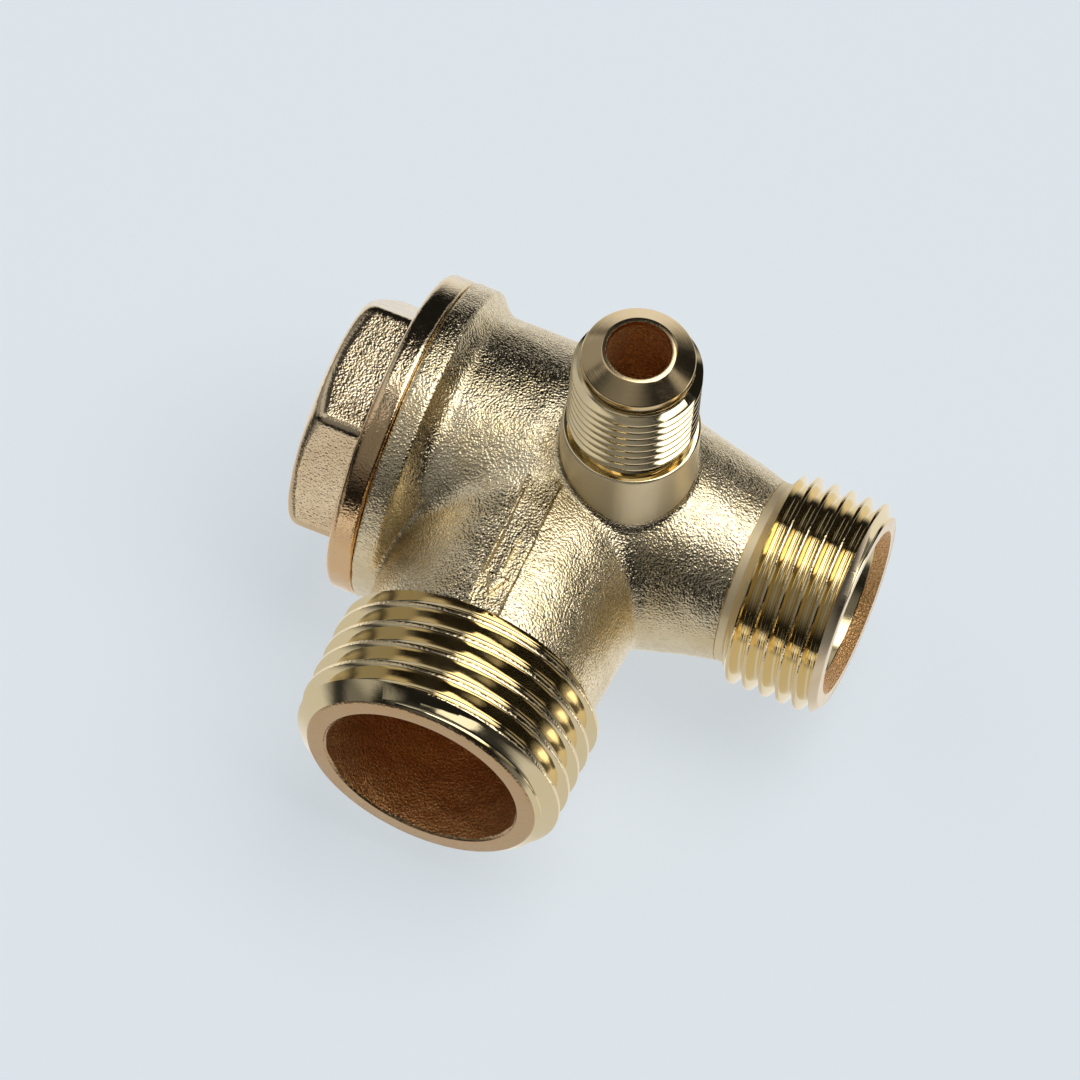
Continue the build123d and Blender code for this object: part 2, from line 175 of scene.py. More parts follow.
# ------------------------------------------------------------------ materials
def cast_metal(name, bright, dark, roughness, grain, pits=0.35, metallic=1.0, tint=None):
    """Cast brass. grain scales the bumps, pits the dark spots; tint colours the -Y side."""
    material = bpy.data.materials.new(name)
    shader = Shader(material)
    coord = shader.add_node("ShaderNodeTexCoord").outputs["Object"]
    patches = shader.noise(coord, scale=260.0, detail=4.0, roughness=0.55)
    blotches = shader.noise(coord, scale=1500.0, detail=4.0, roughness=0.6)
    grit = shader.noise(coord, scale=4700.0, detail=2.0, roughness=0.6)
    dots = shader.remap(shader.cells(coord, scale=5000.0), over=(0.05, 0.75), to=(1.0, 0.0))
    grit_weight, dot_weight = 1.0, 0.34
    blotch_weight = 0.12 if tint is None else 0.02
    height = shader.add(shader.multiply(grit, grit_weight), shader.multiply(dots, dot_weight))
    height = shader.add(height, shader.multiply(blotches, blotch_weight))
    normal = shader.bump(height, distance=0.00006 * grain)

    color = shader.mix_color(shader.remap(patches, over=(0.3, 0.7)), dark, bright)
    pit_mask = shader.multiply(shader.remap(blotches, over=(0.60, 0.74)), pits)
    color = shader.mix_color(pit_mask, color, scaled(dark, 0.45))
    if tint is not None:
        # strongest on the flange rim, and faintly in patches everywhere
        _, y, z = shader.separate(coord)
        y_offset = shader.subtract(y, AXIS_Y * MM)
        squares = [shader.math("POWER", side, 2.0) for side in (y_offset, z)]
        radius = shader.math("SQRT", shader.add(*squares))
        rim = shader.remap(radius, over=(0.0112, 0.0119), to=(0.25, 1.0))
        front = shader.multiply(shader.remap(y, over=(0.0165, 0.0085)), rim)
        tarnish = shader.noise(coord, scale=420.0, detail=2.0)
        tarnish = shader.remap(tarnish, over=(0.50, 0.70), to=(0.0, 0.15))
        front_strength = 0.7
        tint_mask = shader.add(shader.multiply(front, front_strength), tarnish)
        color = shader.mix_color(tint_mask, color, tint)

    span = (roughness - 0.06, roughness + 0.08)
    uneven = shader.remap(blotches, over=(0.3, 0.7), to=span, kind="LINEAR")
    grit_roughness = 0.06
    uneven = shader.add(uneven, shader.multiply(grit, grit_roughness))
    shader.principled(color, uneven, normal, {"Metallic": metallic})
    return material


def turned_metal(name, base, stain, line, roughness, lines=1.0, grain=0.0, metallic=1.0):
    """Lathe-turned metal about a line. lines scales the turning marks, grain a coarse bump."""
    material = bpy.data.materials.new(name)
    shader = Shader(material)
    coord = shader.add_node("ShaderNodeTexCoord").outputs["Object"]
    origin = tuple(float(x) * MM for x in line[0])
    axis = tuple(float(x) for x in line[1])
    local = shader.vector("SUBTRACT", coord, origin)
    along = shader.vector("DOT_PRODUCT", local, axis)
    scale_inputs = {0: axis, 3: along}
    on_axis = shader.add_node("ShaderNodeVectorMath", scale_inputs, operation="SCALE").outputs[0]
    radial = shader.vector("SUBTRACT", local, on_axis)
    tangent = shader.vector("NORMALIZE", shader.vector("CROSS_PRODUCT", axis, radial))
    radius = shader.vector("LENGTH", radial)

    # turning marks follow the axis and the radius, almost unchanged round the part
    rings = shader.add_node("ShaderNodeCombineXYZ", {0: along, 1: radius}).outputs[0]
    drift = shader.vector("MULTIPLY", local, (0.012, 0.012, 0.012))
    rings = shader.vector("ADD", rings, drift)
    fine_marks = shader.noise(rings, scale=9000.0, detail=3.0, roughness=0.7)
    wide_marks = shader.noise(rings, scale=2600.0, detail=2.0, roughness=0.6)
    patches = shader.noise(local, scale=420.0, detail=3.0, roughness=0.6)
    specks = shader.noise(local, scale=4200.0, detail=3.0, roughness=0.65)
    wide_weight, speck_weight, speck_roughness = 0.8, 1.1, 0.06
    marks = shader.add(fine_marks, shader.multiply(wide_marks, wide_weight))
    normal = shader.bump(marks, distance=0.0000015 * lines)
    if grain:
        cells = shader.cells(local, scale=4200.0, feature="SMOOTH_F1", Smoothness=0.3)
        height = shader.add(cells, shader.multiply(specks, speck_weight))
        normal = shader.bump(height, distance=0.00003 * grain, normal=normal)
    swell = shader.noise(local, scale=900.0, detail=2.0)
    normal = shader.bump(swell, distance=0.000006, normal=normal)

    stain_mask = shader.remap(patches, over=(0.42, 0.72), to=(0.0, 0.55))
    color = shader.mix_color(stain_mask, base, stain)
    span = (roughness - 0.02, roughness + 0.06)
    uneven = shader.remap(patches, over=(0.3, 0.7), to=span, kind="LINEAR")
    speckle = shader.multiply(shader.remap(specks, over=(0.55, 0.75)), speck_roughness)
    brushed = {"Metallic": metallic, "Anisotropic": 0.3, "Tangent": tangent}
    shader.principled(color, shader.add(uneven, speckle), normal, brushed)
    return material


def rubber(name, color):
    material = bpy.data.materials.new(name)
    shader = Shader(material)
    coord = shader.add_node("ShaderNodeTexCoord").outputs["Object"]
    patches = shader.noise(coord, scale=900.0, detail=4.0, roughness=0.6)
    grit = shader.noise(coord, scale=6000.0, detail=3.0, roughness=0.6)
    mottled = shader.mix_color(patches, color, scaled(color, 1.8))
    uneven = shader.remap(grit, over=(0.3, 0.7), to=(0.45, 0.7), kind="LINEAR")
    normal = shader.bump(shader.add(grit, patches), distance=0.00001)
    shader.principled(mottled, uneven, normal, {})
    return material


PALE = (0.90, 0.785, 0.55, 1)
PALE_DARK = (0.80, 0.67, 0.42, 1)
YELLOW = (0.91, 0.765, 0.47, 1)
YELLOW_STAIN = (0.86, 0.66, 0.34, 1)
TANK_MARKS = ((0, 0, 0), (0, 1, 0))


def thread_metal(name, line):
    return turned_metal(name, YELLOW, PALE, line, roughness=0.05)


def crest_metal(name, line, grain=0.3):
    worn, worn_stain = (0.87, 0.72, 0.45, 1), (0.84, 0.66, 0.44, 1)
    return turned_metal(name, worn, worn_stain, line, roughness=0.08, grain=grain)


# The body's slots, in the order of their materials below
(
    CAST, TURNED, CORED, COLLAR, TANK_THREAD, TANK_CREST, TANK_FACE,
    INLET_THREAD, INLET_CREST, INLET_FACE, UNLOADER_THREAD, UNLOADER_CREST, UNLOADER_NOSE,
) = range(13)
BODY_METALS = [
    cast_metal("cast_brass", PALE, PALE_DARK, roughness=0.12, grain=1.0),
    turned_metal("chamber_turned", YELLOW, YELLOW_STAIN, MAIN_LINE, roughness=0.14),
    cast_metal(
        "cored_bore", (0.84, 0.48, 0.20, 1), (0.74, 0.41, 0.155, 1),
        roughness=0.22, grain=1.9, pits=0.1, metallic=0.7,
    ),
    turned_metal(
        "collar_turned", (0.96, 0.81, 0.53, 1), PALE, UNLOADER_LINE,
        roughness=0.42, metallic=0.72,
    ),
    thread_metal("tank_thread", TANK_MARKS),
    crest_metal("tank_crest", TANK_MARKS, grain=0.6),
    turned_metal(
        "tank_face", (0.63, 0.44, 0.25, 1), (0.66, 0.42, 0.22, 1), TANK_MARKS,
        roughness=0.16, lines=5.0, grain=1.0,
    ),
    thread_metal("inlet_thread", MAIN_LINE),
    crest_metal("inlet_crest", MAIN_LINE),
    turned_metal(
        "inlet_face", (0.90, 0.75, 0.54, 1), (0.84, 0.66, 0.42, 1), MAIN_LINE, roughness=0.18
    ),
    thread_metal("unloader_thread", UNLOADER_LINE),
    crest_metal("unloader_crest", UNLOADER_LINE),
    turned_metal(
        "unloader_nose", (0.88, 0.68, 0.40, 1), YELLOW_STAIN, UNLOADER_LINE,
        roughness=0.15, lines=3.0,
    ),
]
CAP_TURNED = 1
CAP_METALS = [
    cast_metal(
        "cap_brass", (0.87, 0.74, 0.52, 1), (0.74, 0.60, 0.40, 1),
        roughness=0.06, grain=0.30, tint=(0.84, 0.53, 0.26, 1),
    ),
    turned_metal("cap_turned", YELLOW, YELLOW_STAIN, MAIN_LINE, roughness=0.14),
]
PISTON_BRASS = turned_metal("piston_brass", YELLOW, YELLOW_STAIN, MAIN_LINE, roughness=0.16)
SEAL_RUBBER = rubber("seal_rubber", (0.012, 0.012, 0.013, 1))
RING_RUBBER = rubber("o_ring_rubber", (0.010, 0.010, 0.011, 1))
STAINLESS = turned_metal(
    "stainless", (0.62, 0.62, 0.63, 1), (0.5, 0.5, 0.52, 1), MAIN_LINE, roughness=0.2
)
SPRING_STEEL = turned_metal(
    "spring_steel", (0.55, 0.55, 0.56, 1), (0.42, 0.42, 0.44, 1), MAIN_LINE, roughness=0.25
)


# ------------------------------------------------------------------ mesh helpers
def read_points(mesh):
    """Vertex places in metres, one row each."""
    values = np.zeros(len(mesh.vertices) * 3)
    mesh.vertices.foreach_get("co", values)
    return values.reshape(-1, 3)


def write_points(mesh, points):
    mesh.vertices.foreach_set("co", points.ravel())
    mesh.update()


def turn_outwards(mesh):
    """Turns every face outwards, by the sign of the mesh's volume."""
    mesh.calc_loop_triangles()
    points = read_points(mesh)
    corners = np.zeros(len(mesh.loop_triangles) * 3, np.int32)
    mesh.loop_triangles.foreach_get("vertices", corners)
    first, second, third = (points[column] for column in corners.reshape(-1, 3).T)
    if np.einsum("ij,ij->i", first, np.cross(second, third)).sum() < 0:
        mesh.flip_normals()


def solid_mesh(name, points, faces, materials, face_materials=None):
    """A closed mesh object from points in millimetres."""
    mesh = bpy.data.meshes.new(name)
    metres = np.asarray(points, float) * MM
    mesh.from_pydata(metres.tolist(), [], [tuple(int(i) for i in face) for face in faces])
    solid = bpy.data.objects.new(name, mesh)
    bpy.context.scene.collection.objects.link(solid)
    for material in materials:
        mesh.materials.append(material)
    if face_materials is not None:
        mesh.polygons.foreach_set("material_index", np.asarray(face_materials, np.int32))
    mesh.validate()
    mesh.update()
    turn_outwards(mesh)
    return solid


def ring_frame(line, segments):
    """A line's origin and unit direction, and the angles and outward directions round it."""
    origin, along = (np.array(part, float) for part in line)
    along /= np.linalg.norm(along)
    helper = np.array([0, 0, 1.0] if abs(along[2]) < 0.9 else [0, 1.0, 0])
    side = np.cross(helper, along)
    side /= np.linalg.norm(side)
    up = np.cross(along, side)
    angles = np.linspace(0, 2 * np.pi, segments, endpoint=False)
    outward = np.cos(angles)[:, None] * side + np.sin(angles)[:, None] * up
    return origin, along, angles, outward


def lathe(name, line, profile, materials, segments=SEGMENTS, bands=(0,), closed=False):
    """Solid of revolution from (along, radius) points. bands gives each stretch's material
    slot, the last one running on to the end. An open profile starts and ends on the axis."""
    origin, along, _, outward = ring_frame(line, segments)
    points, rings = [], []
    for distance, radius in profile:
        base = len(points)
        if radius < 1e-9:
            points.append(origin + along * distance)
            rings.append([base])
        else:
            points.extend(origin + along * distance + outward * radius)
            rings.append(range(base, base + segments))
    faces, face_materials = [], []
    count = len(profile)
    for i in range(count if closed else count - 1):
        here, there = rings[i], rings[(i + 1) % count]
        for j in range(segments):
            k = (j + 1) % segments
            if len(here) == 1:
                faces.append((here[0], there[k], there[j]))
            elif len(there) == 1:
                faces.append((here[j], here[k], there[0]))
            else:
                faces.append((here[j], here[k], there[k], there[j]))
            face_materials.append(bands[min(i, len(bands) - 1)])
    return solid_mesh(name, points, faces, materials, face_materials)


def arc(centre, radius, start, end, count):
    """Points on an arc in the (along, radius) plane, angles in degrees."""
    return [
        (
            centre[0] + radius * math.cos(math.radians(angle)),
            centre[1] + radius * math.sin(math.radians(angle)),
        )
        for angle in np.linspace(start, end, count)
    ]


PORT_THREAD_DEPTH = 0.640327  # of the pitch
CAP_THREAD_DEPTH = 0.6


def thread_form(radius, pitch, depth_ratio):
    """One pitch from crest centre to crest centre: rows of (along, radius, is crest)."""
    flank_angle, root_ratio = 27.5, 0.137329
    softness = 0.045  # how far the crest's edges are rounded down
    depth = depth_ratio * pitch
    root_radius = root_ratio * pitch
    slope = math.tan(math.radians(flank_angle))
    sine, cosine = math.sin(math.radians(flank_angle)), math.cos(math.radians(flank_angle))
    flank_end = radius - depth + root_radius - root_radius * sine
    crest_half = (pitch / 2 - root_radius * cosine) - (radius - flank_end) * slope
    shoulder = radius - softness
    half = [
        (0.0, radius, 1),
        (crest_half - softness * 0.8, radius, 1),
        (crest_half, radius - softness * 0.22, 1),
        (crest_half + softness * slope + 0.004, shoulder, 0),
    ]
    for fraction in (0.33, 0.66):
        flank = shoulder + (flank_end - shoulder) * fraction
        half.append((crest_half + (radius - flank) * slope, flank, 0))
    for angle in np.linspace(flank_angle, 90, 6):
        root_along = pitch / 2 - root_radius * math.cos(math.radians(angle))
        root_height = root_radius * math.sin(math.radians(angle))
        half.append((root_along, (radius - depth + root_radius) - root_height, 0))
    return half + [(pitch - x, height, crest) for x, height, crest in half[-2:0:-1]]


def threaded_rod(name, line, radius, pitch, depth, start, end, materials, flank, crest,
                 segments=SEGMENTS):
    """Right-hand threaded rod, capped, and at least a pitch too long for cutting to length."""
    origin, along, angles, outward = ring_frame(line, segments)
    form = thread_form(radius, pitch, depth)
    count = len(form)
    offsets, radii, on_crest = (np.array(column) for column in zip(*form))
    turns = int(math.ceil((end - start) / pitch)) + 2
    # row = turn * count + point of the form; a column is raised by its share of the pitch
    rows = turns * count + 1
    row = np.arange(rows)
    row_along = start - pitch + (row // count) * pitch + offsets[row % count]
    distance = row_along[:, None] + pitch * angles[None, :] / (2 * np.pi)
    row_radii = radii[row % count][:, None, None]
    points = origin + distance[..., None] * along + row_radii * outward[None]
    points = points.reshape(-1, 3).tolist()

    def vertex(i, j):
        """After the last column, the mesh carries on one turn higher in column 0."""
        return (i + count) * segments if j == segments else i * segments + j

    faces, face_materials = [], []
    for i in range(rows - 1):
        is_crest = on_crest[i % count] and on_crest[(i + 1) % count]
        for j in range(segments):
            if j == segments - 1 and i + 1 + count >= rows:
                continue
            faces.append(
                (vertex(i, j), vertex(i, j + 1), vertex(i + 1, j + 1), vertex(i + 1, j))
            )
            face_materials.append(crest if is_crest else flank)
    # each cap closes an end row and the one-pitch step beside it
    last = rows - 1
    bottom_loop = list(range(segments)) + [i * segments for i in range(count, 0, -1)]
    top_loop = [last * segments + j for j in range(segments)]
    top_loop += [(last - i) * segments + segments - 1 for i in range(1, count + 1)]
    caps = ((start - pitch, bottom_loop[::-1]), (row_along[-1] + pitch / 2, top_loop))
    for centre_along, loop in caps:
        centre = len(points)
        points.append((origin + along * centre_along).tolist())
        for i in range(len(loop)):
            faces.append((centre, loop[i], loop[(i + 1) % len(loop)]))
            face_materials.append(flank)
    return solid_mesh(name, points, faces, materials, face_materials)


def combine(base, tool, operation):
    """Applies a boolean to base and removes tool."""
    modifier = base.modifiers.new("cut", "BOOLEAN")
    modifier.operation = operation
    modifier.solver = "MANIFOLD"
    modifier.object = tool
    modifier.material_mode = "TRANSFER"
    graph = bpy.context.evaluated_depsgraph_get()
    graph.update()
    mesh = bpy.data.meshes.new_from_object(base.evaluated_get(graph), depsgraph=graph)
    base.modifiers.clear()
    old_mesh = base.data
    base.data = mesh
    bpy.data.meshes.remove(old_mesh)
    tool_mesh = tool.data
    bpy.data.objects.remove(tool)
    bpy.data.meshes.remove(tool_mesh)
    return base


# ------------------------------------------------------------------ distance fields
def polygon_distance(polygon, x, y):
    """Signed distance to a closed polygon, negative inside, for arrays x, y."""
    starts = np.array(polygon, float)
    squared = np.full(x.shape, 1e9)
    sign = np.ones(x.shape)
    for (start_x, start_y), (end_x, end_y) in zip(starts, np.roll(starts, -1, 0)):
        edge_x, edge_y = end_x - start_x, end_y - start_y
        from_x, from_y = x - start_x, y - start_y
        length_squared = edge_x * edge_x + edge_y * edge_y + 1e-12
        share = np.clip((from_x * edge_x + from_y * edge_y) / length_squared, 0, 1)
        gap = (from_x - edge_x * share) ** 2 + (from_y - edge_y * share) ** 2
        squared = np.minimum(squared, gap)
        above, below = y >= start_y, y < end_y
        left = edge_x * from_y > edge_y * from_x
        crossed = (above & below & left) | (~above & ~below & ~left)
        sign = np.where(crossed, -sign, sign)
    return sign * np.sqrt(squared)


class DistanceTable:
    """A polygon's distance field, tabulated in (along, radius) and read back bilinearly."""

    def __init__(self, polygon, low, high, step=0.04):
        self.low, self.step = low, step
        self.size = [int((high[i] - low[i]) / step) + 2 for i in (0, 1)]
        ticks = [low[i] + step * np.arange(self.size[i]) for i in (0, 1)]
        self.values = polygon_distance(polygon, *np.meshgrid(*ticks, indexing="ij"))

    def __call__(self, along, radius):
        x = np.clip((along - self.low[0]) / self.step, 0, self.size[0] - 1.001)
        y = np.clip((radius - self.low[1]) / self.step, 0, self.size[1] - 1.001)
        i, j = x.astype(int), y.astype(int)
        x, y = x - i, y - j
        values = self.values
        return (
            values[i, j] * (1 - x) * (1 - y)
            + values[i + 1, j] * x * (1 - y)
            + values[i, j + 1] * (1 - x) * y
            + values[i + 1, j + 1] * x * y
        )


def smooth_min(first, second, blend):
    share = np.clip(0.5 + 0.5 * (second - first) / blend, 0, 1)
    return second * (1 - share) + first * share - blend * share * (1 - share)


def smooth_max(first, second, blend):
    return -smooth_min(-first, -second, blend)


def overlap(*fields):
    return reduce(np.maximum, fields)


def between(value, low, high):
    return np.maximum(value - high, low - value)


def band(value, centre, half_width):
    return np.abs(value - centre) - half_width


class Waves:
    """A few random plane waves: a smooth, repeatable unevenness."""

    def __init__(self, seed, wavelength):
        count, spread = 24, 0.45
        rng = np.random.default_rng(seed)
        ways = rng.normal(size=(count, 3))
        ways /= np.linalg.norm(ways, axis=1, keepdims=True)
        lengths = wavelength * (1 + spread * rng.uniform(-1, 1, count))
        self.waves = ways * (2 * np.pi / lengths)[:, None]
        self.phases = rng.uniform(0, 2 * np.pi, count)
        self.scale = math.sqrt(count / 2)

    def __call__(self, x, y, z):
        total = 0.0
        for wave, phase in zip(self.waves, self.phases):
            total = total + np.sin(wave[0] * x + wave[1] * y + wave[2] * z + phase)
        return total / self.scale


CORNERS = [(i, j, k) for i in (0, 1) for j in (0, 1) for k in (0, 1)]


def join_touching_cells(solid, cube):
    """Joins solid grid points that touch only across a diagonal, so that the mesh stays
    manifold. cube holds views of solid, one for each corner of a cell."""
    for _ in range(8):
        changed = 0
        for axis in range(3):
            view = np.moveaxis(solid, axis, 2)
            near, right = view[:-1, :-1], view[1:, :-1]
            left, far = view[:-1, 1:], view[1:, 1:]
            falling = near & far & ~right & ~left
            rising = ~near & ~far & right & left
            changed += int(falling.sum() + rising.sum())
            right |= falling
            near |= rising
        total = sum(corner.astype(np.int8) for corner in cube)
        for i, filled in enumerate((1, 2, 3, 2)):
            lone_solid = cube[i] & cube[7 - i] & (total == 2)
            lone_empty = ~cube[i] & ~cube[7 - i] & (total == 6)
            changed += int(lone_solid.sum() + lone_empty.sum())
            cube[filled] |= lone_solid
            cube[i] |= lone_empty
        if not changed:
            break


def cell_points(values, cells):
    """The mean of the edge crossings in each cell, in grid steps."""
    total = np.zeros((len(cells), 3))
    count = np.zeros(len(cells))
    corner_values = {
        corner: values[tuple((cells + corner).T)].astype(float) for corner in CORNERS
    }
    for corner in CORNERS:
        for axis in range(3):
            if corner[axis]:
                continue
            other = list(corner)
            other[axis] = 1
            here, there = corner_values[corner], corner_values[tuple(other)]
            crossed = (here < 0) != (there < 0)
            place = np.tile(np.array(corner, float), (len(cells), 1))
            place[:, axis] = np.where(crossed, here / np.where(crossed, here - there, 1), 0)
            total[crossed] += place[crossed]
            count[crossed] += 1
    return cells + total / count[:, None]


def cell_quads(solid, ids):
    """A quad round every grid edge that crosses the surface."""
    quads = []
    for axis, second, third in ((0, 1, 2), (1, 2, 0), (2, 0, 1)):
        start, end = [slice(1, -1)] * 3, [slice(1, -1)] * 3
        start[axis], end[axis] = slice(0, -1), slice(1, None)
        edges = np.argwhere(solid[tuple(start)] != solid[tuple(end)])
        edges[:, second] += 1
        edges[:, third] += 1
        leaving = solid[tuple(edges.T)]
        corners = []
        for step_second, step_third in ((0, 0), (-1, 0), (-1, -1), (0, -1)):
            cell = edges.copy()
            cell[:, second] += step_second
            cell[:, third] += step_third
            corners.append(ids[tuple(cell.T)])
        quad = np.stack(corners, 1)
        quad[~leaving] = quad[~leaving][:, ::-1]
        quads.append(quad)
    return np.concatenate(quads)


def surface_nets(name, field, low, high, spacing, materials):
    """A closed quad mesh of field = 0, its vertices then moved onto the surface."""
    low = np.array(low, float)
    size = np.ceil((np.array(high, float) - low) / spacing).astype(int) + 1
    ticks = [low[i] + spacing * np.arange(size[i]) for i in range(3)]
    values = np.empty(size, np.float32)
    y, z = np.meshgrid(ticks[1], ticks[2], indexing="ij")
    for i in range(size[0]):  # slab by slab, to keep memory low
        values[i] = field(np.full(y.shape, ticks[0][i]), y, z)
    solid = values < 0
    cube = [
        solid[i : size[0] - 1 + i, j : size[1] - 1 + j, k : size[2] - 1 + k]
        for i, j, k in CORNERS
    ]
    join_touching_cells(solid, cube)
    values = np.where(solid & (values >= 0), -0.01 * spacing, values)
    total = sum(corner.astype(np.int8) for corner in cube)
    on_surface = (total > 0) & (total < 8)
    cells = np.argwhere(on_surface)
    ids = -np.ones(on_surface.shape, np.int64)
    ids[on_surface] = np.arange(len(cells))
    points = low + spacing * cell_points(values, cells)

    # damped steps along the gradient; probe is the distance it is measured over
    probe, step_count, damping = 0.02, 4, 0.9
    least_slope, longest_step = 0.2, 0.3 * spacing
    for _ in range(step_count):
        distance = field(*points.T)
        differences = [
            field(*(points + shift).T) - field(*(points - shift).T)
            for shift in probe * np.eye(3)
        ]
        gradient = np.stack(differences, 1) / (2 * probe)
        slope = np.maximum((gradient * gradient).sum(1), least_slope)
        move = (distance / slope)[:, None] * gradient
        length = np.linalg.norm(move, axis=1, keepdims=True)
        limit = np.minimum(1, longest_step / np.maximum(length, 1e-9))
        points = points - move * limit * damping
    return solid_mesh(name, points, cell_quads(solid, ids), materials)


# ------------------------------------------------------------------ valve body, cast outside
# (x, radius): flange, fillet down to the chamber, chamber and cone
BODY_OUTLINE = [
    (JOINT_X, -1.0),
    (JOINT_X, FLANGE_RADIUS - 0.3),
    *arc((JOINT_X + 0.3, FLANGE_RADIUS - 0.3), 0.3, 180, 90, 5),
    *arc((FLANGE_BACK_X - 0.45, FLANGE_RADIUS - 0.45), 0.45, 90, 30, 6),
    (FLANGE_BACK_X + 0.12, CHAMBER_RADIUS + 0.93),
    (FLANGE_BACK_X + 0.45, CHAMBER_RADIUS + 0.60),
    (FLANGE_BACK_X + 0.85, CHAMBER_RADIUS + 0.27),
    (FLANGE_BACK_X + 1.20, CHAMBER_RADIUS + 0.07),
    (FLANGE_BACK_X + 1.60, CHAMBER_RADIUS),
    (CONE_START_X - 1.6, CHAMBER_RADIUS),
    (CONE_START_X - 0.4, CHAMBER_RADIUS - 0.08),
    (CONE_START_X + 0.9, CHAMBER_RADIUS - 0.36),
    (CONE_END_X, CONE_END_RADIUS),
    (CONE_END_X, -1.0),
]
# (-y, radius): a neck that widens a little towards +Y
NECK_OUTLINE = [
    (-13.0, -1.0), (-13.0, NECK_ROOT_RADIUS + 0.02), (0.5, NECK_RADIUS - 0.03), (0.5, -1.0),
]
body_table = DistanceTable(BODY_OUTLINE, (-13.0, -0.2), (17.0, 14.5))
neck_table = DistanceTable(NECK_OUTLINE, (-15.0, -0.2), (2.5, 13.0))
body_swell = Waves(seed=3, wavelength=7.0)
body_ripple = Waves(seed=5, wavelength=2.2)


def marking_fields(x, y, z):
    """Raised pad on top of the neck, a rib along it and an arrow that points to -Y."""
    pad_top = 9.85 + 0.014 * np.clip(y, 0, 12)
    pad_bottom, rib_height, arrow_bottom, arrow_height = 8.0, 0.20, 8.5, 0.50
    pad = overlap(
        band(x, 0.23, 1.27), between(y, -0.2, 12.0), between(z, pad_bottom, pad_top)
    )
    rib = overlap(
        band(x, -0.88, 0.16), between(y, -0.1, 11.6), z - pad_top - rib_height, pad_bottom - z
    )
    arrow_x, shaft_half_width, head_half_width = 0.30, 0.23, 0.85
    head_tip, head_base, head_length = 1.1, 2.8, 1.7
    shaft = np.maximum(band(x, arrow_x, shaft_half_width), band(y, 4.6, 1.9))
    head_share = np.clip((y - head_tip) / head_length, 0, 1)
    head_side = band(x, arrow_x, head_half_width * head_share)
    head = np.maximum(head_side, between(y, head_tip, head_base)) * 0.85
    arrow = overlap(np.minimum(shaft, head), z - pad_top - arrow_height, arrow_bottom - z)
    return pad, rib, arrow


def body_field(x, y, z):
    main = body_table(x, np.hypot(y - AXIS_Y, z))
    neck = neck_table(-y, np.hypot(x, z))
    unloader_distance = np.hypot(x - UNLOADER_X, y - AXIS_Y)
    collar = np.maximum(unloader_distance - 5.13, between(z, 3.0, 11.6))
    pad, rib, arrow = marking_fields(x, y, z)
    shape = main
    for feature, fillet in ((neck, 0.75), (collar, 0.55), (pad, 0.16), (rib, 0.10), (arrow, 0.05)):
        shape = smooth_min(shape, feature, fillet)
    # cast unevenness, fading out near the three machined ports
    uneven = 0.018 * body_swell(x, y, z) + 0.010 * body_ripple(x, y, z)
    uneven = uneven * np.clip((unloader_distance - 5.3) / 0.8, 0, 1)
    uneven = uneven * np.clip((15.2 - x) / 0.8, 0, 1)
    uneven = uneven * np.clip((y - 0.0) / 0.6, 0, 1)
    return shape + uneven


# ------------------------------------------------------------------ valve body, ports
def threaded_end(name, line, thread, crest_at, start, end, outline, bands, slots,
                 segments=SEGMENTS):
    """A thread of (radius, pitch) cut to its (along, radius) outline. A crest passes through
    crest_at; bands are the outline's materials and slots the thread's flank and crest."""
    radius, pitch = thread
    rod_start = crest_at - pitch * math.ceil((crest_at - (start - pitch)) / pitch)
    rod = threaded_rod(
        name, line, radius, pitch, PORT_THREAD_DEPTH, rod_start, end + pitch,
        BODY_METALS, *slots, segments,
    )
    envelope = lathe(name + "_env", line, outline, BODY_METALS, segments, bands)
    return combine(rod, envelope, "INTERSECT")


def tank_port():
    """G 1/2 thread, pointing to -Y."""
    clear = TANK_RADIUS + 0.2
    outline = [
        (-0.6, 0), (-0.6, 9.2), (-0.02, 9.2), (0.02, 9.42), (0.42, clear),
        (TANK_LENGTH - 1.34, clear), (TANK_LENGTH - 0.14, 9.14), (TANK_LENGTH - 0.04, 9.05),
        (TANK_LENGTH, 8.95), (TANK_LENGTH, 0),
    ]
    return threaded_end(
        "tank_end", TANK_LINE, (TANK_RADIUS, TANK_PITCH), 1.0465, -0.6, TANK_LENGTH,
        outline, [TANK_THREAD] * 6 + [TANK_FACE], (TANK_THREAD, TANK_CREST),
    )


def inlet_port():
    """G 3/8 thread, pointing to +X, with a plain collar at its root."""
    clear = INLET_RADIUS + 0.2
    outline = [
        (14.2, 0), (14.2, 6.6), (15.3, 6.6), (15.36, 7.02), (15.42, 7.08), (16.02, 7.1),
        (16.12, 7.2), (16.9, clear), (INLET_END_X - 0.86, clear), (INLET_END_X - 0.1, 7.62),
        (INLET_END_X - 0.03, 7.56), (INLET_END_X, 7.48), (INLET_END_X, 0),
    ]
    port = threaded_end(
        "inlet_end", MAIN_LINE, (INLET_RADIUS, INLET_PITCH), 16.2655, 14.2, INLET_END_X,
        outline, [COLLAR] * 7 + [INLET_THREAD, INLET_FACE], (INLET_THREAD, INLET_CREST),
    )
    relief = [
        (14.3, 0), (14.3, 6.9), (15.34, 6.9), (15.38, 7.02), (15.45, 7.08), (16.05, 7.1),
        (16.35, 7.34), (17.2, 7.34), (17.2, 0),
    ]
    relief = lathe("inlet_relief", MAIN_LINE, relief, BODY_METALS, bands=[COLLAR])
    return combine(port, relief, "UNION")


